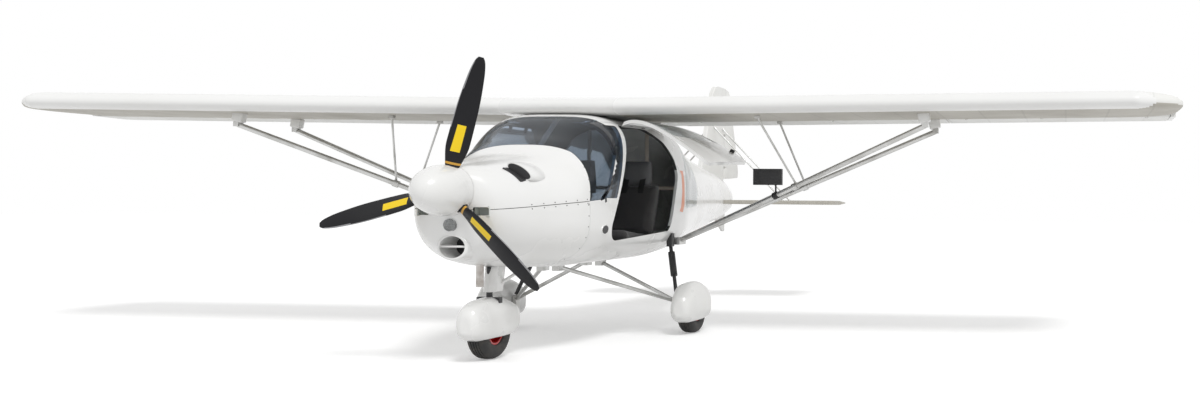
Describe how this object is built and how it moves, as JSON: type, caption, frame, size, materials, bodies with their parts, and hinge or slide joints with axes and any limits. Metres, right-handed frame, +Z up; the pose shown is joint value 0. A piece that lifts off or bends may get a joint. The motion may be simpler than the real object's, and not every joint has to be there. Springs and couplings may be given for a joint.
{
  "type": "ultralight aircraft",
  "caption": "Two-seat high-wing ultralight aircraft with strut-braced wing, tractor propeller, raised side door and tricycle gear with spats.",
  "frame": {"origin": "centre of the bounding box's base, on the ground between the wheels", "axes": "+X to port across the span, -Y towards the nose, +Z up"},
  "size_m": [9.4494, 6.2, 2.34],
  "materials": {
    "white_shell": "smooth gloss paint on composite",
    "white_fabric": "doped fabric, satin",
    "blade": "black gloss",
    "engine": "cast, satin",
    "steel": "brushed",
    "alloy": "satin",
    "white_steel": "gloss paint",
    "black_steel": "satin paint",
    "red_rim": "gloss paint",
    "glazing": "clear, glossy",
    "lamp": "clear lens",
    "dash": "matt black",
    "seat_cloth": "woven cloth",
    "tyre": "rubber"
  },
  "bodies": {
    "airframe": {"cowl_upper": "white_shell", "cowl_lower": "white_shell", "engine_block": "engine", "exhaust_pipe": "steel", "landing_light": "lamp", "firewall": "steel", "cabin_shell": "white_shell", "windshield": "glazing", "quarter_windows": "glazing", "roof_fairing": "white_shell", "instrument_panel": "dash", "cabin_tubes": "white_steel", "seat_port": "seat_cloth", "seat_starboard": "seat_cloth", "rear_fuselage": "white_shell", "rear_windows": "glazing", "wing_port": "white_fabric", "wing_starboard": "white_fabric", "lift_struts": "alloy", "jury_struts": "alloy", "strut_mirror": "black_steel", "stabilizer": "white_fabric", "fin": "white_fabric", "tail_braces": "steel", "nose_leg": "white_shell", "main_legs": "black_steel", "shock_struts": "black_steel", "main_spats": "white_shell"},
    "propeller": {"spinner": "white_shell", "propeller_blades": "blade", "propeller_hub": "alloy"},
    "port_door": {"door_port": "white_shell", "door_window_port": "glazing"},
    "starboard_door": {"door_starboard": "white_shell", "door_window_starboard": "glazing"},
    "port_flap": {"flap_port": "white_fabric"},
    "starboard_flap": {"flap_starboard": "white_fabric"},
    "port_aileron": {"aileron_port": "white_fabric"},
    "starboard_aileron": {"aileron_starboard": "white_fabric"},
    "elevator_pair": {"elevator": "white_fabric"},
    "rudder_blade": {"rudder": "white_fabric"},
    "nose_gear": {"nose_fork": "black_steel", "nose_spat": "white_shell"},
    "nose_wheel": {"nose_tyre": "tyre", "nose_rim": "red_rim"},
    "port_wheel": {"main_tyre_port": "tyre", "main_rim_port": "red_rim"},
    "starboard_wheel": {"main_tyre_starboard": "tyre", "main_rim_starboard": "red_rim"}
  },
  "joints": [
    {"name": "propeller_spin", "type": "hinge", "parent": "airframe", "child": "propeller", "pos_m": [0, -2.82, 1.12], "axis": [0, 1, 0], "continuous": true},
    {"name": "nose_steer", "type": "hinge", "parent": "airframe", "child": "nose_gear", "pos_m": [0, -2.3, 0.5], "axis": [0, 0, 1], "range_deg": [-25, 25]},
    {"name": "nose_wheel_spin", "type": "hinge", "parent": "nose_gear", "child": "nose_wheel", "pos_m": [0, -2.3, 0.19], "axis": [1, 0, 0], "continuous": true},
    {"name": "port_wheel_spin", "type": "hinge", "parent": "airframe", "child": "port_wheel", "pos_m": [0.81, -0.67, 0.19], "axis": [1, 0, 0], "continuous": true},
    {"name": "starboard_wheel_spin", "type": "hinge", "parent": "airframe", "child": "starboard_wheel", "pos_m": [-0.81, -0.67, 0.19], "axis": [1, 0, 0], "continuous": true},
    {"name": "port_door_swing", "type": "hinge", "parent": "airframe", "child": "port_door", "pos_m": [0.45451, -1.08, 1.654], "axis": [0, -1, 0], "range_deg": [-62, 8]},
    {"name": "starboard_door_swing", "type": "hinge", "parent": "airframe", "child": "starboard_door", "pos_m": [-0.45451, -1.08, 1.654], "axis": [0, 1, 0], "range_deg": [0, 70]},
    {"name": "port_flap_hinge", "type": "hinge", "parent": "airframe", "child": "port_flap", "pos_m": [1.69939, -0.4, 1.77257], "axis": [-0.9999, 0, -0.0122], "range_deg": [0, 40]},
    {"name": "starboard_flap_hinge", "type": "hinge", "parent": "airframe", "child": "starboard_flap", "pos_m": [-1.69939, -0.4, 1.77257], "axis": [-0.9999, 0, 0.0122], "range_deg": [0, 40]},
    {"name": "port_aileron_hinge", "type": "hinge", "parent": "airframe", "child": "port_aileron", "pos_m": [3.79924, -0.4, 1.79822], "axis": [-0.9999, 0, -0.0122], "range_deg": [-20, 20]},
    {"name": "starboard_aileron_hinge", "type": "hinge", "parent": "airframe", "child": "starboard_aileron", "pos_m": [-3.79924, -0.4, 1.79822], "axis": [-0.9999, 0, 0.0122], "range_deg": [-20, 20]},
    {"name": "elevator_hinge", "type": "hinge", "parent": "airframe", "child": "elevator_pair", "pos_m": [0, 2.62, 1.07], "axis": [-1, 0, 0], "range_deg": [-25, 25]},
    {"name": "rudder_hinge", "type": "hinge", "parent": "airframe", "child": "rudder_blade", "pos_m": [0, 2.54, 1.7], "axis": [0, 0, 1], "range_deg": [-25, 25]}
  ],
  "couplings": [
    {"joint": "starboard_flap_hinge", "follows": "port_flap_hinge", "ratio": 1},
    {"joint": "starboard_aileron_hinge", "follows": "port_aileron_hinge", "ratio": -1}
  ]
}
